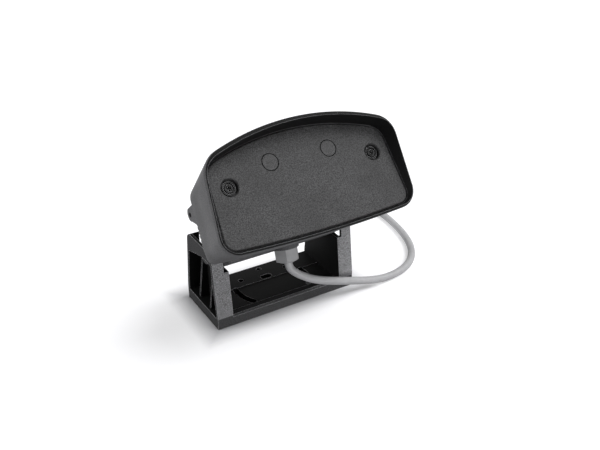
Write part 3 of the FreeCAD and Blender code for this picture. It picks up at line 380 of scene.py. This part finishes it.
SMOOTH_LOOKS = {
    "seal_rubber": dict(colour=grey(0.02), roughness=0.7),
    # black_steel's pale edges are painted glints on the screw heads, and worn coating.
    "black_steel": dict(colour=grey(0.004), roughness=0.3, specular=0.06, edge=0.00025, wear_and_highlight=(0.2, 0.4)),
    "zinc_steel": dict(colour=(0.62, 0.62, 0.6), roughness=0.3, metallic=1.0),
    "insert_brass": dict(colour=(0.72, 0.52, 0.22), roughness=0.3, metallic=1.0),
    "board_laminate": dict(colour=(0.03, 0.16, 0.06), roughness=0.35),
    "antenna_laminate": dict(colour=(0.7, 0.55, 0.25), roughness=0.35, metallic=0.6),
    "component_plastic": dict(colour=(0.06, 0.14, 0.34), roughness=0.4),
    "gland_nylon": dict(colour=grey(0.27), roughness=0.35, edge=0.0003),
    "cable_sheath": dict(colour=(0.36, 0.36, 0.37), roughness=0.45),
    "tie_nylon": dict(colour=grey(0.03), roughness=0.4),
}
FINISHES = {name: moulded_plastic(name, **look) for name, look in MOULDED_LOOKS.items()}
FINISHES.update({name: smooth_finish(name, **look) for name, look in SMOOTH_LOOKS.items()})


def dress_nodes():
    """Give every CAD node the finish of its slot in the record."""
    for part in frame["record"]["subparts"]:
        node = NODES[part["node"]]
        node.data.materials.clear()
        node.data.materials.append(FINISHES[part["material_slot"]])


# Cable


def coil_slots():
    """Radius and height of each ring, in the order in which the cable fills them."""
    slots = []
    for layer in range(COIL_LAYERS):
        rings = range(COIL_RINGS) if layer % 2 else reversed(range(COIL_RINGS))
        for ring in rings:
            radius = COIL_RADIUS + (ring - (COIL_RINGS - 1) / 2) * COIL_PITCH
            slots.append((radius, CABLE_DIAMETER / 2 + layer * COIL_PITCH))
    return slots


def move_phase(turn):
    """Which stretch of a turn its move to the next ring takes: later moves come earlier in the turn."""
    layer, ring = divmod(turn, COIL_RINGS)
    climbs = ring == COIL_RINGS - 1
    return MOVES_PER_LAYER * layer + (1 if climbs else 0)


def coil_points():
    """Control points of the turns, which lie outside the curve, from where the free stretch comes in."""
    slots = coil_slots()
    start_x, start_y, _ = CABLE_ROUTE[-1]
    first_angle = math.atan2(start_y - COIL_CENTRE[1], start_x - COIL_CENTRE[0])
    step_angle = math.tau / STEPS_PER_TURN
    outside = 1.0 / math.cos(step_angle / 2)
    points = []
    for count in range(1, round(COIL_TURNS * STEPS_PER_TURN)):
        turn, step = divmod(count, STEPS_PER_TURN)
        move_start = STEPS_PER_TURN - (move_phase(turn) + 1) * STEPS_PER_MOVE
        share = min(max((step - move_start) / STEPS_PER_MOVE, 0.0), 1.0)
        here, beyond = slots[turn], slots[min(turn + 1, len(slots) - 1)]
        radius = (here[0] + (beyond[0] - here[0]) * share) * outside
        height = here[1] + (beyond[1] - here[1]) * share
        angle = first_angle + count * step_angle
        points.append((
            COIL_CENTRE[0] + radius * math.cos(angle),
            COIL_CENTRE[1] + radius * math.sin(angle),
            height,
        ))
    return points


def new_curve(name, kind, points):
    """A curve that points steer, or straight lines between them."""
    data = bpy.data.curves.new(name, "CURVE")
    data.dimensions = "3D"
    data.resolution_u = CURVE_STEPS
    spline = data.splines.new(kind)
    spline.points.add(len(points) - 1)
    for target, point in zip(spline.points, points):
        target.co = (*point, 1.0)
    if kind == "NURBS":
        spline.order_u = CURVE_ORDER
        spline.use_endpoint_u = True
    obj = bpy.data.objects.new(name, data)
    bpy.context.scene.collection.objects.link(obj)
    return obj


def drawn_mesh(obj):
    """The mesh that a curve makes, with the curve taken away."""
    bpy.context.view_layer.update()
    mesh = bpy.data.meshes.new_from_object(obj.evaluated_get(bpy.context.evaluated_depsgraph_get()))
    bpy.data.objects.remove(obj)
    return mesh


def make_cable():
    """One smooth tube along the free stretch and the coil."""
    line = drawn_mesh(new_curve("cable_line", "NURBS", CABLE_ROUTE + coil_points()))
    path = [tuple(vertex.co) for vertex in line.vertices]
    tube = new_curve("cable_tube", "POLY", path)
    tube.data.bevel_depth = CABLE_DIAMETER / 2
    tube.data.bevel_resolution = TUBE_STEPS
    tube.data.use_fill_caps = True
    lead = bpy.data.objects.new("lead", drawn_mesh(tube))
    bpy.context.scene.collection.objects.link(lead)
    for polygon in lead.data.polygons:
        polygon.use_smooth = True
    lead.data.materials.append(FINISHES["cable_sheath"])
    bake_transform(lead)
    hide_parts("cable", "cable_coil")


# Studio


def seen_directly(tree):
    """One for rays that show the background: from the camera, in a reflection or through a clear piece."""
    rays = tree.nodes.new("ShaderNodeLightPath").outputs
    seen_or_mirrored = number_from(tree, "MAXIMUM", rays["Is Camera Ray"], rays["Is Glossy Ray"])
    return number_from(tree, "MAXIMUM", seen_or_mirrored, rays["Is Transmission Ray"])


def beyond_bracket(tree):
    """How far a point of the floor lies outside the bracket's footprint."""
    middle = [(low + high) / 2 for low, high in zip(BRACKET_LOW, BRACKET_HIGH)]
    half = [(high - low) / 2 for low, high in zip(BRACKET_LOW, BRACKET_HIGH)]
    place, _ = on_piece(tree)
    from_middle = vector_from(tree, "ABSOLUTE", vector_from(tree, "SUBTRACT", place, middle))
    parts = tree.nodes.new("ShaderNodeSeparateXYZ")
    tree.links.new(vector_from(tree, "SUBTRACT", from_middle, half), parts.inputs["Vector"])
    return number_from(tree, "MAXIMUM", parts.outputs["X"], parts.outputs["Y"])


def make_floor():
    """A wide pale floor that keeps the shadow and shows white to the camera, with a painted shadow round
    the bracket, where its glow is held back.
    """
    bpy.ops.mesh.primitive_plane_add(size=FLOOR_SIZE, location=(0.0, 0.0, 0.0))
    floor = bpy.context.object
    floor.name = "studio_floor"
    material, tree, shader = new_material(floor.name)
    seen = seen_directly(tree)
    tone = ramp(tree, seen, (0.0, 1.0), (grey(FLOOR_BOUNCE), grey(FLOOR_TONE)))
    # Painted shadow: no glow on the bracket's footprint, coming up over a short distance beyond it.
    glow_past_painted_shadow = scaled(tree, beyond_bracket(tree), 0.0, FLOOR_GLOW, 0.0, PAINTED_SHADOW_FADE)
    glow = number_from(tree, "MULTIPLY", seen, glow_past_painted_shadow)
    tree.links.new(tone, shader.inputs["Base Color"])
    tree.links.new(glow, shader.inputs["Emission Strength"])
    shader.inputs["Emission Color"].default_value = WHITE
    shader.inputs["Roughness"].default_value = FLOOR_ROUGHNESS
    shader.inputs["Specular IOR Level"].default_value = 0.0
    floor.data.materials.append(material)


def soft_light(name, towards, level, spread_deg):
    """Soft light from a direction, at a level where 1 shows a surface that faces it in its own colour."""
    data = bpy.data.lights.new(name, "SUN")
    data.energy = level * math.pi
    data.angle = math.radians(spread_deg)
    light = bpy.data.objects.new(name, data)
    light.rotation_euler = Vector(towards).to_track_quat("Z", "Y").to_euler()
    bpy.context.scene.collection.objects.link(light)


def make_lights():
    """The lamps, and a world that shows white and gives a little light."""
    for light in LIGHTS:
        soft_light(*light)
    world = bpy.data.worlds.new("studio_world")
    world.use_nodes = True
    tree = world.node_tree
    background = tree.nodes["Background"]
    background.inputs["Color"].default_value = WHITE
    strength = scaled(tree, seen_directly(tree), WORLD_LIGHT, BACKGROUND)
    tree.links.new(strength, background.inputs["Strength"])
    bpy.context.scene.world = world


def make_camera():
    """The camera, where the photograph was taken from."""
    data = bpy.data.cameras.new("camera")
    data.lens = CAMERA_LENS_MM
    data.sensor_width = SENSOR_MM
    data.clip_start = NEAREST_SEEN
    camera = bpy.data.objects.new("camera", data)
    camera.location = CAMERA_PLACE
    camera.rotation_euler = [math.radians(angle) for angle in CAMERA_TURN_DEG]
    bpy.context.scene.collection.objects.link(camera)
    bpy.context.scene.camera = camera


dress_nodes()
make_cable()
make_floor()
make_lights()
make_camera()
bpy.context.scene.view_settings.view_transform = "Standard"
